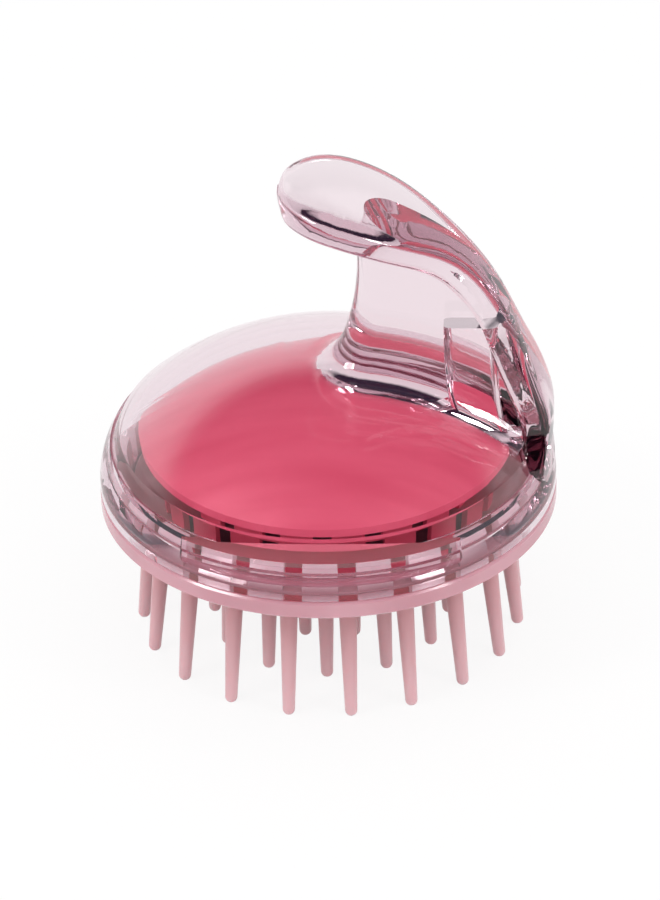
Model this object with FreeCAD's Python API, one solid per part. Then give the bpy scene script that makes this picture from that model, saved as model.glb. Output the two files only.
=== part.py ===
import FreeCAD, Part
import math
import os

# A palm-held scalp massager brush, in millimetres.
# The origin is the centre of the round body, in the plane of the tooth tips, and +Z is up.
# The handle's plane of symmetry is XZ: its leg stands at +X and the tip of its leaf points to -X.

# The round body, outside. Rises are measured from the underside of the body.
body_radius = 42.5
edge_band = 3.5
wall_rise = 5.0
wall_round = 14.0
shoulder_rise = 12.3
shoulder_step = 0.35
dome_edge_rise = 15.0
dome_edge_inset = 3.8
crown_rise = 29.8

# The walls of the clear cover, and the lead-in at its open edge.
rim_wall = 5.0
dome_wall = 5.0
seam_chamfer = 0.35
seam_gap = 0.2
seat_width = 0.8

# The grip notches in the rim, one on each side of the handle.
notch_ledge_rise = 6.9
notch_depth = 3.4
notch_round = 50.0
notch_half_angle = 37.0

# The snap wall and bead that hold the base in the cover. The wall is split into springy fingers.
slot_width = 3.4
snap_finger_count = 24
snap_wall = 1.4
snap_rise = 8.9
bead_rise = 7.4
bead_height = 0.45
bead_half_width = 0.9
bead_clearance = 0.2
snap_clearance = 0.2

# The floor of the base and the soft pad that lies on it.
floor_thickness = 2.0
pad_thickness = 1.6
pad_clearance = 0.3

# The rose inlay plate under the dome.
inlay_wall = 1.2
inlay_gap = 0.25
inlay_inset = 9.3
inlay_foot_radius = 27.0
inlay_slot_count = 18
inlay_slot_height = 5.0

# The soft teeth: rings of tapered fingers with rounded ends.
tooth_reach = 26.0
tooth_root_radius = 1.8
tooth_tip_radius = 1.15
tooth_flat = 0.3
hole_clearance = 0.25
outer_tooth_count = 19
outer_tooth_radius = 32.6
outer_splay = 5.8
outer_turn = 3.4
middle_tooth_count = 12
middle_tooth_radius = 20.6
middle_splay = 3.0
inner_tooth_count = 6
inner_tooth_radius = 9.2

# The handle: a leaf for the palm, carried by a leg from the rim and by a web from the dome.
leaf_thickness = 6.5
leaf_tip_length = 12.0
tip_turns = (8, 22, 38, 54, 70, 84)
tip_thinning = 0.4
web_thickness = 10.6
web_front_inset = 36.2
web_nose = 5.2
web_lean_rise = 52.0
web_lean_round = 50.0
web_lean_foot_rise = 27.5
web_flare = 9.0
foot_inset = 0.25
core_half_width = 3.3
core_front_inset = 20.4
core_rear_inset = 10.4
core_rise = 39.0
core_corner = 1.5

# The middle line of the leaf and leg, from the tip to the foot: the distance in from the rim's outer
# face, the rise above the underside of the body, and the half width there.
handle_line = (
    (50.5, 64.9, 13.8),
    (46.5, 65.0, 13.8),
    (37.2, 62.9, 13.9),
    (32.5, 61.0, 13.4),
    (28.4, 59.0, 12.1),
    (19.1, 52.4, 7.2),
    (12.8, 43.8, 5.8),
    (9.2, 35.6, 6.4),
    (7.1, 30.3, 8.0),
    (4.8, 24.3, 8.7),
    (3.5, 17.5, 9.6),
    (3.4, 9.0, 10.2),
)

# Places that follow from the sizes.
base_z = tooth_reach
seam_z = base_z + edge_band
floor_z = base_z + floor_thickness
pad_z = floor_z + pad_thickness
band_top_z = seam_z - seam_gap
inner_radius = body_radius - rim_wall
seat_radius = inner_radius + seat_width
dome_edge_radius = body_radius - dome_edge_inset
dome_sag = crown_rise - dome_edge_rise
dome_radius = (dome_edge_radius**2 + dome_sag**2) / (2 * dome_sag)
dome_centre_z = base_z + crown_rise - dome_radius
wall_centre_radius = body_radius - wall_round
shoulder_drop = shoulder_rise - wall_rise
shoulder_radius = wall_centre_radius + math.sqrt(wall_round**2 - shoulder_drop**2)
snap_outer = inner_radius - snap_clearance
snap_inner = snap_outer - snap_wall
pad_radius = snap_inner - pad_clearance
inlay_radius = body_radius - inlay_inset
half_leaf = leaf_thickness / 2


def point(radius, z):
    """A point of a turned outline, drawn on the -X side so that its seam is clear of the handle."""
    return FreeCAD.Vector(-radius, 0, z)


def line(a, b):
    return Part.LineSegment(a, b).toShape()


def arc(a, b, c):
    return Part.Arc(a, b, c).toShape()


def sphere_z(radius, ball_radius):
    """Height of a ball about the dome's centre, at a distance from the axis."""
    return dome_centre_z + math.sqrt(ball_radius**2 - radius**2)


def sphere_arc(start, end, ball_radius):
    middle = (start + end) / 2
    return arc(*[point(r, sphere_z(r, ball_radius)) for r in (start, middle, end)])


def revolve(edges):
    face = Part.Face(Part.Wire(edges))
    return face.revolve(FreeCAD.Vector(0, 0, 0), FreeCAD.Vector(0, 0, 1), 360)


def ring_groove(radius, z, half_width, depth):
    """A ring of triangular section, with its edge pointing outwards from a cylinder."""
    a = point(radius, z - half_width)
    b = point(radius + depth, z)
    c = point(radius, z + half_width)
    return revolve([line(a, b), line(b, c), line(c, a)])


def body_outside():
    """The outside of the cover as a solid of revolution, from the seam to the crown."""
    wall_top_z = base_z + wall_rise
    shoulder_z = base_z + shoulder_rise
    dome_edge_z = base_z + dome_edge_rise
    half_turn = math.asin(shoulder_drop / wall_round) / 2
    chamfer_foot = point(body_radius - seam_chamfer, seam_z)
    chamfer_top = point(body_radius, seam_z + seam_chamfer)
    wall_top = point(body_radius, wall_top_z)
    round_middle = point(
        wall_centre_radius + wall_round * math.cos(half_turn),
        wall_top_z + wall_round * math.sin(half_turn),
    )
    shoulder = point(shoulder_radius, shoulder_z)
    step = point(shoulder_radius - shoulder_step, shoulder_z)
    dome_edge = point(dome_edge_radius, dome_edge_z)
    foot = point(0, seam_z)
    crown = point(0, base_z + crown_rise)
    return revolve(
        [
            line(foot, chamfer_foot),
            line(chamfer_foot, chamfer_top),
            line(chamfer_top, wall_top),
            arc(wall_top, round_middle, shoulder),
            line(shoulder, step),
            line(step, dome_edge),
            sphere_arc(dome_edge_radius, 0, dome_radius),
            line(crown, foot),
        ]
    )


def cover_cavity():
    """The space inside the cover: the rim's bore below the underside of the dome."""
    under_radius = dome_radius - dome_wall
    corner = point(inner_radius, sphere_z(inner_radius, under_radius))
    foot = point(0, base_z)
    foot_edge = point(inner_radius, base_z)
    top = point(0, sphere_z(0, under_radius))
    bore = revolve(
        [
            line(foot, foot_edge),
            line(foot_edge, corner),
            sphere_arc(inner_radius, 0, under_radius),
            line(top, foot),
        ]
    )
    groove = ring_groove(
        inner_radius, base_z + bead_rise, bead_half_width, bead_height + bead_clearance
    )
    return bore.fuse(groove)


def grip_notch(side):
    """What is cut from the rim for a finger: a flat-arced back wall above a level ledge."""
    ledge_z = base_z + notch_ledge_rise
    height = crown_rise
    half_width = body_radius * math.sin(math.radians(notch_half_angle))
    slab = Part.makeBox(
        2 * half_width,
        body_radius,
        height,
        FreeCAD.Vector(-half_width, -body_radius - notch_depth, ledge_z),
    )
    back = Part.makeCylinder(
        notch_round,
        height,
        FreeCAD.Vector(0, notch_round + notch_depth - body_radius, ledge_z),
    )
    notch = slab.cut(back)
    if side > 0:
        notch = notch.mirror(FreeCAD.Vector(0, 0, 0), FreeCAD.Vector(0, 1, 0))
    return notch


def handle_point(inset, rise):
    return FreeCAD.Vector(body_radius - inset, 0, base_z + rise)


def handle_curve():
    curve = Part.BSplineCurve()
    curve.interpolate([handle_point(inset, rise) for inset, rise, _ in handle_line])
    return curve


def oval(centre, across, half_width, half_thickness):
    """A closed oval section with full sides, half_width along Y and half_thickness along across."""
    fullness = 2 / 3.6
    count = 16
    points = []
    for i in range(count):
        turn = 2 * math.pi * i / count
        c = math.cos(turn)
        s = math.sin(turn)
        wide = half_width * math.copysign(abs(c) ** fullness, c)
        thick = half_thickness * math.copysign(abs(s) ** fullness, s)
        points.append(centre + FreeCAD.Vector(0, wide, 0) + across * thick)
    curve = Part.BSplineCurve()
    curve.interpolate(points, PeriodicFlag=True)
    return Part.Wire(curve.toShape())


def leaf_and_leg():
    """The leaf and its leg: ovals square to the middle line, drawn in at the leaf's rounded tip."""
    curve = handle_curve()
    sections = []
    tip_width = handle_line[0][2]
    for turn in tip_turns:
        along = leaf_tip_length * (1 - math.cos(math.radians(turn)))
        grown = math.sin(math.radians(turn))
        at = curve.parameterAtDistance(along, curve.FirstParameter)
        half_thickness = half_leaf * min(1.0, tip_thinning + grown)
        sections.append(handle_section(curve, at, tip_width * grown, half_thickness))
    for inset, rise, half_width in handle_line[2:]:
        at = curve.parameter(handle_point(inset, rise))
        sections.append(handle_section(curve, at, half_width, half_leaf))
    loft = Part.makeLoft(sections, True, False)
    limit = Part.makeCylinder(body_radius - foot_inset, crown_rise * 4, point(0, seam_z))
    return loft.common(limit)


def handle_section(curve, at, half_width, half_thickness):
    tangent = FreeCAD.Vector(*curve.tangent(at)[0])
    across = FreeCAD.Vector(-tangent.z, 0, tangent.x)
    return oval(curve.value(at), across, half_width, half_thickness)


def web():
    """The upright web with a full round front edge, flared into the dome, cut at the leaf's middle line."""
    half = web_thickness / 2
    front = body_radius - web_front_inset
    low_z = seam_z + edge_band
    top_z = base_z + handle_line[0][1]
    lean_z = base_z + web_lean_rise
    lean_centre = FreeCAD.Vector(front - web_lean_round, -half, lean_z)
    lean_drop = base_z + web_lean_foot_rise - lean_z
    edge = []
    for part in (0, 0.5, 1):
        drop = lean_drop * part
        reach = math.sqrt(web_lean_round**2 - drop**2)
        edge.append(lean_centre + FreeCAD.Vector(reach, 0, drop))
    high = FreeCAD.Vector(front, -half, top_z)
    far_high = FreeCAD.Vector(body_radius, -half, top_z)
    far_low = FreeCAD.Vector(body_radius, -half, low_z)
    low = FreeCAD.Vector(edge[2].x, -half, low_z)
    outline = Part.Wire(
        [
            line(high, edge[0]),
            arc(*edge),
            line(edge[2], low),
            line(low, far_low),
            line(far_low, far_high),
            line(far_high, high),
        ]
    )
    upright = Part.Face(outline).extrude(FreeCAD.Vector(0, web_thickness, 0))
    front_edges = [e for e in upright.Edges if on_web_front(e, front)]
    upright = upright.makeFillet(web_nose, front_edges)
    ball = Part.makeSphere(dome_radius)
    ball.rotate(FreeCAD.Vector(0, 0, 0), FreeCAD.Vector(0, 1, 0), 90)
    ball.translate(FreeCAD.Vector(0, 0, dome_centre_z))
    stem = ball.fuse(upright)
    foot_edges = [e for e in stem.Edges if on_web_foot(e, front)]
    stem = stem.makeFillet(web_flare, foot_edges)
    foot = (handle_line[-1][0], seam_z - base_z)
    under = Part.Wire(
        [
            handle_curve().toShape(),
            line(handle_point(*handle_line[-1][:2]), handle_point(*foot)),
            line(handle_point(*foot), handle_point(handle_line[0][0], foot[1])),
            line(handle_point(handle_line[0][0], foot[1]), handle_point(*handle_line[0][:2])),
        ]
    )
    slab = Part.Face(under).extrude(FreeCAD.Vector(0, body_radius, 0))
    slab.translate(FreeCAD.Vector(0, -body_radius / 2, 0))
    limit = Part.makeCylinder(inner_radius, crown_rise * 4, point(0, seam_z))
    return stem.common(limit).common(slab)


def on_web_front(edge, front):
    """Whether an edge runs down a side of the web's front, from the leaf to inside the dome."""
    box = edge.BoundBox
    level = box.YLength < dome_wall / 100
    return level and box.XMax < front + dome_wall / 100 and box.ZLength > edge_band


def on_web_foot(edge, front):
    """Whether an edge is where the web's sides or front edge meet the dome."""
    box = edge.BoundBox
    on_web = max(-box.YMin, box.YMax) <= web_thickness / 2 + dome_wall / 100
    middle = edge.valueAt((edge.FirstParameter + edge.LastParameter) / 2)
    from_centre = (middle - FreeCAD.Vector(0, 0, dome_centre_z)).Length
    on_dome = abs(from_centre - dome_radius) < dome_wall / 100
    off_seam = abs(middle.y) > dome_wall / 100
    return on_web and on_dome and off_seam and box.XMin > front - web_lean_round and box.ZMin > base_z


def core_pocket():
    """The pocket that the moulding's core leaves in the thick root of the leg."""
    front = body_radius - core_front_inset
    rear = body_radius - core_rear_inset
    box = Part.makeBox(
        rear - front,
        2 * core_half_width,
        core_rise - edge_band,
        FreeCAD.Vector(front, -core_half_width, seam_z),
    )
    upright = [e for e in box.Edges if abs(e.tangentAt(e.FirstParameter).z) > 0.99]
    return box.makeFillet(core_corner, upright)


def clear_cover():
    """One clear moulding: the dome and rim, the web, and the leaf with its leg."""
    cover = body_outside().fuse(web()).fuse(leaf_and_leg())
    cover = cover.cut(cover_cavity())
    cover = cover.cut(core_pocket())
    for side in (-1, 1):
        cover = cover.cut(grip_notch(side))
    return cover


def rose_plate():
    """The inlay: a domed disc that follows the dome, on a slotted foot ring that stands on the pad."""
    top_ball = dome_radius - dome_wall - inlay_gap
    low_ball = top_ball - inlay_wall
    disc = revolve(
        [
            line(inlay_edge(low_ball), inlay_edge(top_ball)),
            sphere_arc(inlay_radius, 0, top_ball),
            line(point(0, sphere_z(0, top_ball)), point(0, sphere_z(0, low_ball))),
            sphere_arc(0, inlay_radius, low_ball),
        ]
    )
    foot_inner = inlay_foot_radius - inlay_wall
    foot_top = sphere_z(foot_inner, low_ball) + inlay_wall / 2
    foot = Part.makeCylinder(inlay_foot_radius, foot_top - pad_z, point(0, pad_z))
    foot = foot.cut(Part.makeCylinder(foot_inner, foot_top - pad_z, point(0, pad_z)))
    foot = slotted(foot, inlay_foot_radius, pad_z, inlay_slot_count, inlay_slot_height)
    return disc.fuse(foot)


def inlay_edge(ball_radius):
    return point(inlay_radius, sphere_z(inlay_radius, ball_radius))


def slotted(ring, radius, foot_z, count, height):
    """A standing ring with a row of slots cut through it from its foot level up."""
    slots = []
    for i in range(count):
        slot = Part.makeBox(
            rim_wall,
            slot_width,
            height,
            FreeCAD.Vector(radius - rim_wall / 2, -slot_width / 2, foot_z),
        )
        slot.rotate(FreeCAD.Vector(0, 0, 0), FreeCAD.Vector(0, 0, 1), 360 * (i + 0.5) / count)
        slots.append(slot)
    return ring.cut(slots)


def tooth_rings():
    """Each tooth's place: its root radius, its turn about the axis and its splay, in degrees."""
    places = [(0.0, 0.0, 0.0)]
    rings = (
        (outer_tooth_count, outer_tooth_radius, outer_splay, outer_turn),
        (middle_tooth_count, middle_tooth_radius, middle_splay, 0.0),
        (inner_tooth_count, inner_tooth_radius, 0.0, 0.0),
    )
    for count, radius, splay, first in rings:
        for i in range(count):
            places.append((radius, 180 + first + 360 * i / count, splay))
    return places


def set_in_ring(shape, radius, turn, splay):
    """Leans a shape that hangs from the pad's level outwards, and carries it to its ring."""
    axis_foot = FreeCAD.Vector(0, 0, base_z)
    shape.rotate(axis_foot, FreeCAD.Vector(0, 1, 0), -splay)
    shape.translate(FreeCAD.Vector(radius, 0, 0))
    shape.rotate(FreeCAD.Vector(0, 0, 0), FreeCAD.Vector(0, 0, 1), turn)
    return shape


def tooth(splay):
    """A tapered finger with a round end, reaching just past the plane of the tips."""
    length = (tooth_reach + tooth_flat) / math.cos(math.radians(splay))
    end_z = base_z - length
    top_z = floor_z + pad_thickness / 2
    ball_z = end_z + tooth_tip_radius
    middle = math.sqrt(0.5)
    axis_top = point(0, top_z)
    root = point(tooth_root_radius, top_z)
    floor_edge = point(tooth_root_radius, base_z)
    ball_side = point(tooth_tip_radius, ball_z)
    ball_middle = point(tooth_tip_radius * middle, ball_z - tooth_tip_radius * middle)
    end = point(0, end_z)
    return revolve(
        [
            line(axis_top, root),
            line(root, floor_edge),
            line(floor_edge, ball_side),
            arc(ball_side, ball_middle, end),
            line(end, axis_top),
        ]
    )


def tooth_pad():
    """The soft sheet that carries every tooth, cut level where the tips stand."""
    pad = Part.makeCylinder(pad_radius, pad_thickness, point(0, floor_z))
    teeth = [set_in_ring(tooth(splay), radius, turn, splay) for radius, turn, splay in tooth_rings()]
    pad = pad.multiFuse(teeth)
    below = Part.makeBox(
        3 * body_radius,
        3 * body_radius,
        tooth_reach,
        FreeCAD.Vector(-1.5 * body_radius, -1.5 * body_radius, -tooth_reach),
    )
    return pad.cut(below)


def base_plate():
    """The base: a pierced floor, the edge band that shows below the cover, and the snap wall."""
    snap_top = base_z + snap_rise
    edge = [
        point(0, base_z),
        point(body_radius - seam_chamfer, base_z),
        point(body_radius, base_z + seam_chamfer),
        point(body_radius, band_top_z - seam_chamfer),
        point(body_radius - seam_chamfer, band_top_z),
        point(seat_radius, band_top_z),
        point(seat_radius, seam_z),
        point(snap_outer, seam_z),
        point(snap_outer, snap_top),
        point(snap_inner, snap_top),
        point(snap_inner, floor_z),
        point(0, floor_z),
    ]
    plate = revolve([line(a, b) for a, b in zip(edge, edge[1:] + edge[:1])])
    bead = ring_groove(snap_outer, base_z + bead_rise, bead_half_width - bead_clearance, bead_height)
    plate = plate.fuse(bead)
    plate = slotted(plate, snap_outer, pad_z, snap_finger_count, snap_rise)
    hole_radius = tooth_root_radius + hole_clearance
    holes = []
    for radius, turn, splay in tooth_rings():
        hole = Part.makeCylinder(hole_radius, floor_thickness * 3, point(0, base_z - floor_thickness))
        holes.append(set_in_ring(hole, radius, turn, splay))
    return plate.cut(holes)


def main():
    os.makedirs("parts", exist_ok=True)
    pieces = {
        "clear_cover": clear_cover(),
        "rose_plate": rose_plate(),
        "tooth_pad": tooth_pad(),
        "base_plate": base_plate(),
    }
    for name, shape in pieces.items():
        solid = shape.Solids[0] if len(shape.Solids) == 1 else shape
        print(name, solid.ShapeType, solid.isValid(), len(shape.Solids), round(solid.Volume, 1))
        solid.exportStep(f"parts/{name}.step")


main()
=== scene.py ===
import bmesh
import bpy
import math
from mathutils import Matrix, Vector


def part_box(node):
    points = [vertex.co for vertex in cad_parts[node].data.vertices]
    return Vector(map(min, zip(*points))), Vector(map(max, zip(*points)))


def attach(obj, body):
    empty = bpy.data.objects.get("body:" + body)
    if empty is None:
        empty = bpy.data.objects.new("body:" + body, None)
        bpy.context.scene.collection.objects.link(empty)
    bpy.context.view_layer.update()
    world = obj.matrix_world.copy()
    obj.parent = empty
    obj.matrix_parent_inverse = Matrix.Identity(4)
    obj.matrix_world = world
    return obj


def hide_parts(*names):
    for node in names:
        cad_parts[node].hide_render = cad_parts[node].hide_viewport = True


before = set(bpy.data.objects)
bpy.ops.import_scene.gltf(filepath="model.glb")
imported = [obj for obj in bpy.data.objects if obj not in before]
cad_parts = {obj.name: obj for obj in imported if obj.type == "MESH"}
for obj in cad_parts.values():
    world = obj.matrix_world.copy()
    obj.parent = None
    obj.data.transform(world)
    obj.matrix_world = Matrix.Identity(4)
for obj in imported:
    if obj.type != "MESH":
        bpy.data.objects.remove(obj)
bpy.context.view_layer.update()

bpy.ops.object.select_all(action="DESELECT")


# The base: an injection-moulded ring and pierced floor in pale pink polystyrene, a little cloudy. Its edge
# band shows below the clear cover, and its split snap wall stands inside the rim.
MM = 0.001
BASE_PINK = "#cf9ca7"
BASE_PINK_DEEP = "#c48c98"
# The paler pink is painted light on the snap wall, mixed in between two heights.
BASE_PINK_PAINTED_LIGHT = "#f0d9df"
BASE_FLOW_PATCH = 18.2 * MM
PAINTED_LIGHT_FROM_HEIGHT = 29.6 * MM
PAINTED_LIGHT_FULL_HEIGHT = 31.0 * MM


def linear(colour):
    """A hex sRGB colour as the linear values that a shader takes."""
    channels = [int(colour[i : i + 2], 16) / 255 for i in (1, 3, 5)]
    return [c / 12.92 if c <= 0.04045 else ((c + 0.055) / 1.055) ** 2.4 for c in channels] + [1.0]


def add_node(tree, kind, settings=None, links=None):
    """Adds a node. Settings go on its inputs by name or number, or else on the node itself."""
    node = tree.nodes.new(kind)
    for name, value in (settings or {}).items():
        if isinstance(name, str) and name not in node.inputs:
            setattr(node, name, value)
        else:
            node.inputs[name].default_value = value
    for name, output in (links or {}).items():
        tree.links.new(output, node.inputs[name])
    return node


def new_material(name, settings):
    material = bpy.data.materials.new(name)
    material.use_nodes = True
    shader = material.node_tree.nodes["Principled BSDF"]
    for setting, value in settings.items():
        shader.inputs[setting].default_value = value
    return material, material.node_tree, shader


def piece_coordinates(tree):
    return add_node(tree, "ShaderNodeTexCoord").outputs["Object"]


def height_on(tree, coordinates, start, stop):
    """Nought below the height start and one above stop, in metres."""
    parts = add_node(tree, "ShaderNodeSeparateXYZ", links={"Vector": coordinates})
    share = add_node(
        tree,
        "ShaderNodeMapRange",
        {"From Min": start, "From Max": stop, "To Min": 0.0, "To Max": 1.0},
        {"Value": parts.outputs["Z"]},
    )
    return share.outputs["Result"]


def cloud(tree, coordinates, patch, detail):
    """Soft noise whose patches are about as wide as patch, in metres."""
    noise = add_node(
        tree, "ShaderNodeTexNoise", {"Scale": 1 / patch, "Detail": detail}, {"Vector": coordinates}
    )
    return noise.outputs["Fac"]


def two_tones(tree, shade, first_colour, first_at, last_colour, last_at):
    """The first colour up to one value of shade, the last from another, and their mix between."""
    ramp = add_node(tree, "ShaderNodeValToRGB", links={"Fac": shade})
    first, last = ramp.color_ramp.elements
    first.position = first_at
    first.color = linear(first_colour)
    last.position = last_at
    last.color = linear(last_colour)
    return ramp.outputs["Color"]


def dress(piece, material):
    for slot in piece.material_slots:
        slot.material = material


# Cloudy polystyrene gives a satin pink with slow changes of tone, where the flow met round the holes. The
# thin snap wall above the teeth's sheet is painted paler: painted light, for the light that gets through it.
cloudy_polystyrene, tree, shader = new_material(
    "polystyrene_cloudy_pink",
    {
        "Roughness": 0.16,
        "IOR": 1.57,
        "Transmission Weight": 0.12,
        "Subsurface Weight": 0.35,
        "Subsurface Radius": (0.9, 0.45, 0.5),
        "Subsurface Scale": 3.0 * MM,
    },
)
place = piece_coordinates(tree)
flow = two_tones(tree, cloud(tree, place, BASE_FLOW_PATCH, 2.0), BASE_PINK_DEEP, 0.35, BASE_PINK, 0.65)
# Painted light: the snap wall turns towards a paler pink as it rises.
painted_light_mix = add_node(
    tree,
    "ShaderNodeMix",
    {"data_type": "RGBA", 7: linear(BASE_PINK_PAINTED_LIGHT)},
    {0: height_on(tree, place, PAINTED_LIGHT_FROM_HEIGHT, PAINTED_LIGHT_FULL_HEIGHT), 6: flow},
)
tree.links.new(painted_light_mix.outputs[2], shader.inputs["Base Color"])
dress(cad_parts["base_plate"], cloudy_polystyrene)


# The soft teeth and their sheet: one moulding of translucent pink silicone. The sheet lies on the base,
# and 38 tapered fingers hang through its holes, with round ends that the scalp feels.
BODY_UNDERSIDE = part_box("base_plate")[0][2]
SHEET_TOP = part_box("tooth_pad")[1][2]
SHEET_THICKNESS = 1.6 * MM
SHEET_FOOT = SHEET_TOP - SHEET_THICKNESS
SHEET_RADIUS = 35.6 * MM
SHEET_SIDES = 96
SHEET_EDGE_ROUND = 0.3 * MM
SHEET_EDGE_ANGLE = math.radians(60)
SHEET_EDGE_SEGMENTS = 3
ROOT_LENGTH = SHEET_FOOT - BODY_UNDERSIDE
ROOT_RADIUS = 1.8 * MM
TIP_RADIUS = 1.15 * MM
TIP_PAST_STAND = 0.3 * MM
TIP_TURNS = (20, 40, 58, 74)
TOOTH_SIDES = 28
TAPER_STEPS = 6
SAME_PLACE = 0.01 * MM
CUT_TOLERANCE = 0.001 * MM
SMOOTH_BELOW = math.radians(50)
# Each ring: how many teeth, its radius, their splay and the turn of the first one, both in degrees.
OUTER_RING = (19, 32.6 * MM, 5.8, 3.4)
MIDDLE_RING = (12, 20.6 * MM, 3.0, 0.0)
INNER_RING = (6, 9.2 * MM, 0.0, 0.0)
CENTRE_TOOTH = (1, 0.0, 0.0, 0.0)
# The tip pink is painted light and the root pink is painted shade, not two colours of the silicone.
TIP_PINK_PAINTED_LIGHT = "#dfb8bd"
ROOT_PINK_PAINTED_SHADE = "#bb858a"
PAINTED_LIGHT_TIP_UP_TO = 2.0 * MM
# The grain of the mould is finer than this in life, and is drawn coarser so that it shows.
SILICONE_GRAIN = 0.385 * MM
SILICONE_GRAIN_DEPTH = 0.02 * MM


def select_level(tooth, level):
    """Selects only the ring of points at this height."""
    shape = bmesh.from_edit_mesh(tooth.data)
    for vertex in shape.verts:
        vertex.select = abs(vertex.co.z - level) < SAME_PLACE
    shape.select_flush(True)
    shape.select_flush_mode()
    bmesh.update_edit_mesh(tooth.data)


def mould_tooth(reach):
    """One upright finger round the origin: a short root, a taper down to the tip and a round end."""
    bpy.ops.mesh.primitive_cylinder_add(vertices=TOOTH_SIDES, radius=ROOT_RADIUS, depth=ROOT_LENGTH)
    tooth = bpy.context.object
    root_foot = -ROOT_LENGTH / 2
    ball_level = root_foot - (reach - TIP_RADIUS)
    rings = []
    for step in range(1, TAPER_STEPS + 1):
        share = step / TAPER_STEPS
        ring_radius = ROOT_RADIUS + (TIP_RADIUS - ROOT_RADIUS) * share
        rings.append((root_foot + (ball_level - root_foot) * share, ring_radius))
    for turn in TIP_TURNS:
        angle = math.radians(turn)
        rings.append((ball_level - TIP_RADIUS * math.sin(angle), TIP_RADIUS * math.cos(angle)))
    bpy.ops.object.mode_set(mode="EDIT")
    low = root_foot
    radius = ROOT_RADIUS
    for level, next_radius in rings:
        select_level(tooth, low)
        bpy.ops.mesh.extrude_region_move(TRANSFORM_OT_translate={"value": (0, 0, level - low)})
        ratio = next_radius / radius
        bpy.ops.transform.resize(value=(ratio, ratio, 1), center_override=(0, 0, level))
        low = level
        radius = next_radius
    bpy.ops.mesh.merge(type="CENTER")
    bpy.ops.mesh.select_all(action="SELECT")
    bpy.ops.mesh.normals_make_consistent(inside=False)
    bpy.ops.object.mode_set(mode="OBJECT")
    return tooth


bpy.ops.mesh.primitive_cylinder_add(
    vertices=SHEET_SIDES,
    radius=SHEET_RADIUS,
    depth=SHEET_THICKNESS,
    location=(0, 0, SHEET_FOOT + SHEET_THICKNESS / 2),
)
sheet = bpy.context.object
sheet.name = "silicone_sheet_and_teeth"
bpy.ops.object.transform_apply(location=True)
bpy.ops.object.mode_set(mode="EDIT")
bpy.ops.mesh.select_mode(type="EDGE")
bpy.ops.mesh.select_all(action="SELECT")
bpy.ops.mesh.edges_select_sharp(sharpness=SHEET_EDGE_ANGLE)
bpy.ops.mesh.bevel(offset=SHEET_EDGE_ROUND, segments=SHEET_EDGE_SEGMENTS)
bpy.ops.mesh.select_mode(type="VERT")
bpy.ops.object.mode_set(mode="OBJECT")
teeth = []
for count, ring_radius, splay, first in (OUTER_RING, MIDDLE_RING, INNER_RING, CENTRE_TOOTH):
    pattern = mould_tooth((BODY_UNDERSIDE + TIP_PAST_STAND) / math.cos(math.radians(splay)))
    raised = Matrix.Translation((0, 0, ROOT_LENGTH / 2))
    leaning = Matrix.Rotation(math.radians(-splay), 4, "Y")
    on_ring = Matrix.Translation((ring_radius, 0, BODY_UNDERSIDE))
    for i in range(count):
        tooth = pattern.copy()
        tooth.data = pattern.data.copy()
        bpy.context.collection.objects.link(tooth)
        turned = Matrix.Rotation(math.radians(180 + first + 360 * i / count), 4, "Z")
        tooth.data.transform(turned @ on_ring @ leaning @ raised)
        teeth.append(tooth)
    bpy.data.objects.remove(pattern)
bpy.ops.object.select_all(action="DESELECT")
for piece in [sheet] + teeth:
    piece.select_set(True)
bpy.context.view_layer.objects.active = sheet
bpy.ops.object.join()
bpy.ops.object.mode_set(mode="EDIT")
bpy.ops.mesh.select_all(action="SELECT")
bpy.ops.mesh.remove_doubles(threshold=SAME_PLACE)
# The tips are cut level with the surface that the brush stands on.
bpy.ops.mesh.bisect(
    plane_co=(0, 0, 0), plane_no=(0, 0, 1), use_fill=True, clear_inner=True, threshold=CUT_TOLERANCE
)
bpy.ops.object.mode_set(mode="OBJECT")
bpy.ops.object.shade_smooth_by_angle(angle=SMOOTH_BELOW)

# Moulded silicone gives a soft satin skin. The thin ends are painted paler, as painted light that passes
# them, and the roots darker, as painted shade under the body.
silicone, tree, shader = new_material(
    "silicone_translucent_pink",
    {
        "Roughness": 0.33,
        "IOR": 1.41,
        "Transmission Weight": 0.08,
        "Subsurface Weight": 0.75,
        "Subsurface Radius": (1.0, 0.6, 0.65),
        "Subsurface Scale": 1.2 * MM,
    },
)
place = piece_coordinates(tree)
# Painted light and shade: the colour runs from the pale tip pink to the darker root pink with height.
tip_light_root_shade = height_on(tree, place, PAINTED_LIGHT_TIP_UP_TO, BODY_UNDERSIDE)
tree.links.new(two_tones(tree, tip_light_root_shade, TIP_PINK_PAINTED_LIGHT, 0.0, ROOT_PINK_PAINTED_SHADE, 1.0), shader.inputs["Base Color"])
skin = add_node(
    tree,
    "ShaderNodeBump",
    {"Strength": 0.12, "Distance": SILICONE_GRAIN_DEPTH},
    {"Height": cloud(tree, place, SILICONE_GRAIN, 2.0)},
)
tree.links.new(skin.outputs["Normal"], shader.inputs["Normal"])
sheet.data.materials.clear()
sheet.data.materials.append(silicone)
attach(sheet, "root")
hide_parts("tooth_pad")


# The rose plate: a domed disc under the dome, moulded in ABS that is dyed through. It stands on the sheet
# by a slotted foot ring.
ROSE = "#fb6a88"
ROSE_DEEP = "#f25c7c"
ROSE_STREAK = 38.5 * MM
ROSE_STREAK_TURN = math.radians(8)
ROSE_STREAK_THINNER = 7.0
# This grain too is drawn coarser than in life, so that it shows.
ROSE_GRAIN = 0.53 * MM
ROSE_GRAIN_DEPTH = 0.02 * MM
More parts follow.
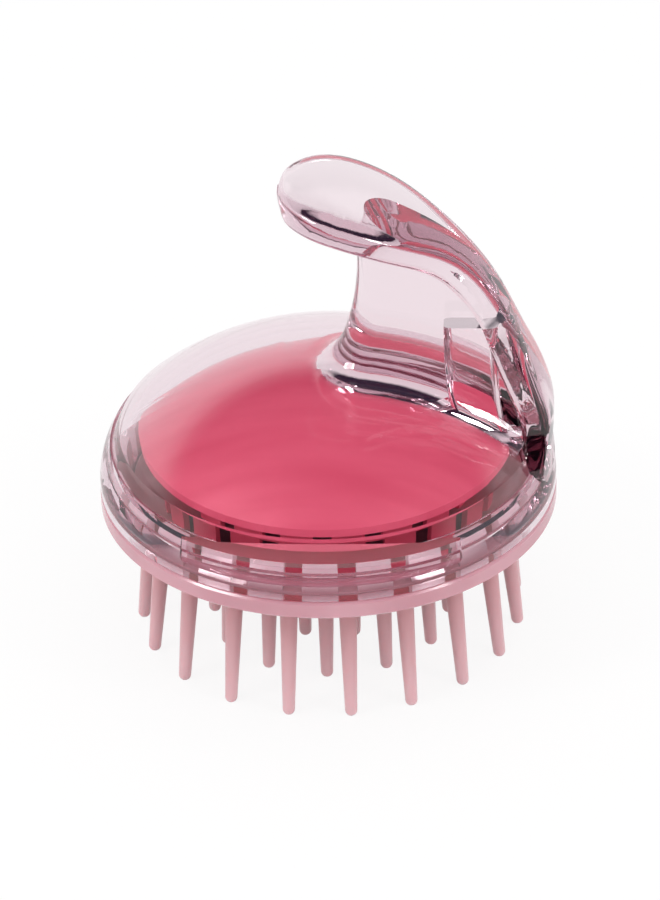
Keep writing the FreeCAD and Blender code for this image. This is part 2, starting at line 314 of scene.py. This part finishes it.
# Dyed ABS gives a satin rose with faint streaks, which run across it from the gate.
rose_abs, tree, shader = new_material("abs_rose", {"Roughness": 0.42, "IOR": 1.53})
place = piece_coordinates(tree)
stretched = add_node(
    tree,
    "ShaderNodeMapping",
    {"Scale": (1.0, ROSE_STREAK_THINNER, 1.0), "Rotation": (0.0, 0.0, ROSE_STREAK_TURN)},
    {"Vector": place},
)
streaks = cloud(tree, stretched.outputs["Vector"], ROSE_STREAK, 5.0)
tree.links.new(two_tones(tree, streaks, ROSE_DEEP, 0.35, ROSE, 0.62), shader.inputs["Base Color"])
skin = add_node(
    tree,
    "ShaderNodeBump",
    {"Strength": 0.1, "Distance": ROSE_GRAIN_DEPTH},
    {"Height": cloud(tree, place, ROSE_GRAIN, 2.0)},
)
tree.links.new(skin.outputs["Normal"], shader.inputs["Normal"])
dress(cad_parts["rose_plate"], rose_abs)


# The clear cover: dome, rim, web and leaf in one moulding of crystal polystyrene, polished by its mould.
# The base snaps into its rim.
SKIN_CLEAR = "#f8f1f4"
SINK_PATCH = 23.8 * MM
SINK_DEPTH = 0.12 * MM
WALL_PASSES = "#f3edef"
THICK_MAUVE = "#dab0c2"
MAUVE_PER_M = 30.0
crystal_polystyrene, tree, shader = new_material(
    "polystyrene_crystal_clear",
    {"Base Color": linear(SKIN_CLEAR), "Roughness": 0.0, "IOR": 1.59, "Transmission Weight": 1.0},
)
# Thick clear mouldings sink a few hundredths of a millimetre as they cool, so reflections waver slightly.
skin = add_node(
    tree,
    "ShaderNodeBump",
    {"Strength": 0.25, "Distance": SINK_DEPTH},
    {"Height": cloud(tree, piece_coordinates(tree), SINK_PATCH, 1.0)},
)
tree.links.new(skin.outputs["Normal"], shader.inputs["Normal"])
# A renderer can't aim a lamp through a wall that bends light, so light on its way to the parts inside
# goes straight through, and loses only the little that the wall takes.
path = add_node(tree, "ShaderNodeLightPath")
inward = add_node(
    tree,
    "ShaderNodeMath",
    {"operation": "MAXIMUM"},
    {0: path.outputs["Is Shadow Ray"], 1: path.outputs["Is Diffuse Ray"]},
)
passing = add_node(tree, "ShaderNodeBsdfTransparent", {"Color": linear(WALL_PASSES)})
wall = add_node(
    tree,
    "ShaderNodeMixShader",
    links={0: inward.outputs[0], 1: shader.outputs[0], 2: passing.outputs[0]},
)
tree.links.new(wall.outputs[0], tree.nodes["Material Output"].inputs["Surface"])
# The plastic takes a little green light on its way, so the thick leaf and leg look mauve and the dome clear.
depth = add_node(
    tree, "ShaderNodeVolumeAbsorption", {"Color": linear(THICK_MAUVE), "Density": MAUVE_PER_M}
)
tree.links.new(depth.outputs[0], tree.nodes["Material Output"].inputs["Volume"])
dress(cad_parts["clear_cover"], crystal_polystyrene)


# The studio: a white table, and a room that is white low down and dark above and behind the camera. Glass
# and gloss see the room, matt surfaces get a plain even light, and the camera sees white.
ROOM_DARK = "#30273a"
WHITE = "#ffffff"
WHITE_ENDS_UP = (0.50, 0.62)
WHITE_STARTS_BACK = (-0.55, -0.35)
TABLE_EDGE_UP = (0.0, 0.08)
EVEN_LIGHT = 1.0
FLOOR_SIZE = 4.0
FLOOR_PALE = "#f4f2f2"
SHADOW_KEPT = 0.12


def fade(tree, value, ends, start, stop):
    """From start to stop as value goes from one end to the other."""
    share = add_node(
        tree,
        "ShaderNodeMapRange",
        {"From Min": ends[0], "From Max": ends[1], "To Min": start, "To Max": stop},
        {"Value": value},
    )
    return share.outputs["Result"]


def calculate(tree, operation, first, second):
    return add_node(tree, "ShaderNodeMath", {"operation": operation}, {0: first, 1: second}).outputs[0]


world = bpy.data.worlds.new("studio")
bpy.context.scene.world = world
world.use_nodes = True
tree = world.node_tree
tree.nodes.clear()
directions = add_node(tree, "ShaderNodeTexCoord").outputs["Generated"]
parts = add_node(tree, "ShaderNodeSeparateXYZ", links={"Vector": directions})
below_top = fade(tree, parts.outputs["Z"], WHITE_ENDS_UP, 1.0, 0.0)
behind = fade(tree, parts.outputs["Y"], WHITE_STARTS_BACK, 0.0, 1.0)
table = fade(tree, parts.outputs["Z"], TABLE_EDGE_UP, 1.0, 0.0)
lit = calculate(tree, "MULTIPLY", calculate(tree, "MAXIMUM", behind, table), below_top)
dark_room = add_node(tree, "ShaderNodeBackground", {"Color": linear(ROOM_DARK)})
white_wall = add_node(tree, "ShaderNodeBackground", {"Color": linear(WHITE)})
even = add_node(tree, "ShaderNodeBackground", {"Color": linear(WHITE), "Strength": EVEN_LIGHT})
path = add_node(tree, "ShaderNodeLightPath")
after_matt = add_node(
    tree, "ShaderNodeMath", {"operation": "MINIMUM", 1: 1.0}, {0: path.outputs["Diffuse Depth"]}
)
room = add_node(
    tree, "ShaderNodeMixShader", links={0: lit, 1: dark_room.outputs[0], 2: white_wall.outputs[0]}
)
lights = add_node(
    tree,
    "ShaderNodeMixShader",
    links={0: after_matt.outputs[0], 1: room.outputs[0], 2: even.outputs[0]},
)
seen = add_node(
    tree,
    "ShaderNodeMixShader",
    links={0: path.outputs["Is Camera Ray"], 1: lights.outputs[0], 2: white_wall.outputs[0]},
)
add_node(tree, "ShaderNodeOutputWorld", links={"Surface": seen.outputs[0]})

bpy.ops.object.select_all(action="DESELECT")
bpy.ops.mesh.primitive_plane_add(size=FLOOR_SIZE, location=(0, 0, 0))
floor = bpy.context.object
floor.name = "floor"
# Table paper is white to the camera, gloss and glass, and keeps a faint shadow under the brush.
paper, tree, shader = new_material("paper_white", {"Base Color": linear(FLOOR_PALE), "Roughness": 0.9})
glow = add_node(tree, "ShaderNodeEmission", {"Color": linear(WHITE), "Strength": 1.0})
kept = add_node(
    tree, "ShaderNodeMixShader", {0: SHADOW_KEPT}, {1: glow.outputs[0], 2: shader.outputs[0]}
)
path = add_node(tree, "ShaderNodeLightPath")
bent = calculate(tree, "MAXIMUM", path.outputs["Is Glossy Ray"], path.outputs["Is Transmission Ray"])
white_for = calculate(tree, "MAXIMUM", path.outputs["Is Camera Ray"], bent)
both = add_node(
    tree, "ShaderNodeMixShader", links={0: white_for, 1: shader.outputs[0], 2: kept.outputs[0]}
)
tree.links.new(both.outputs[0], tree.nodes["Material Output"].inputs["Surface"])
floor.data.materials.append(paper)

# The softboxes stand at the camera's sides, so that it doesn't see them mirrored in the dome.
LAMP_AIM = Vector((0, 0, 40.0 * MM))
LAMP_DISTANCE = 1.2


def softbox(name, direction, size, power, matt=True):
    """A rectangular lamp that faces the object. One without matt only adds highlights."""
    light = bpy.data.lights.new(name, "AREA")
    light.shape = "RECTANGLE"
    light.size, light.size_y = size
    light.energy = power
    lamp = bpy.data.objects.new(name, light)
    bpy.context.scene.collection.objects.link(lamp)
    lamp.location = LAMP_AIM + Vector(direction).normalized() * LAMP_DISTANCE
    lamp.rotation_euler = (LAMP_AIM - lamp.location).to_track_quat("-Z", "Y").to_euler()
    lamp.visible_diffuse = matt


softbox("softbox_left", (-0.66, -0.40, 0.64), (0.30, 0.28), 2.4)
softbox("softbox_right", (0.70, -0.42, 0.60), (0.26, 0.28), 2.0)
softbox("strip_left", (-0.66, -0.40, 0.64), (0.50, 0.30), 11.0, matt=False)
softbox("strip_right", (0.66, -0.40, 0.64), (0.30, 0.24), 5.5, matt=False)


# The camera stands off with a long lens. It looks down at the brush, from just right of square to the
# handle.
CAMERA_AZIMUTH = math.radians(3.0)
CAMERA_ELEVATION = math.radians(32.7)
CAMERA_ROLL = math.radians(1.44)
CAMERA_DISTANCE = 2.0
PIXELS_PER_M = 5360.0
IMAGE_HEIGHT = 900
SENSOR_HEIGHT = 36.0
AIM_RIGHT = 0.43 * MM
AIM_UP = 8.05 * MM
level = Vector((math.cos(CAMERA_AZIMUTH), math.sin(CAMERA_AZIMUTH), 0))
ahead = Vector(
    (
        -math.sin(CAMERA_AZIMUTH) * math.cos(CAMERA_ELEVATION),
        math.cos(CAMERA_AZIMUTH) * math.cos(CAMERA_ELEVATION),
        -math.sin(CAMERA_ELEVATION),
    )
)
upward = level.cross(ahead)
target = Vector((0, 0, BODY_UNDERSIDE)) + level * AIM_RIGHT + upward * AIM_UP
lens = bpy.data.cameras.new("camera")
lens.sensor_fit = "VERTICAL"
lens.sensor_height = SENSOR_HEIGHT
lens.lens = SENSOR_HEIGHT * CAMERA_DISTANCE * PIXELS_PER_M / IMAGE_HEIGHT
camera = bpy.data.objects.new("camera", lens)
bpy.context.scene.collection.objects.link(camera)
across = level * math.cos(CAMERA_ROLL) - upward * math.sin(CAMERA_ROLL)
above = level * math.sin(CAMERA_ROLL) + upward * math.cos(CAMERA_ROLL)
turn = Matrix((across, above, -ahead)).transposed()
camera.matrix_world = Matrix.Translation(target - ahead * CAMERA_DISTANCE) @ turn.to_4x4()
bpy.context.scene.camera = camera
bpy.context.scene.view_settings.view_transform = "Standard"
# Light takes many turns inside the thick rim before it leaves.
GLOSSY_TURNS = 16
CLEAR_TURNS = 24
ALL_TURNS = 32
bpy.context.scene.cycles.glossy_bounces = GLOSSY_TURNS
bpy.context.scene.cycles.transmission_bounces = CLEAR_TURNS
bpy.context.scene.cycles.max_bounces = ALL_TURNS
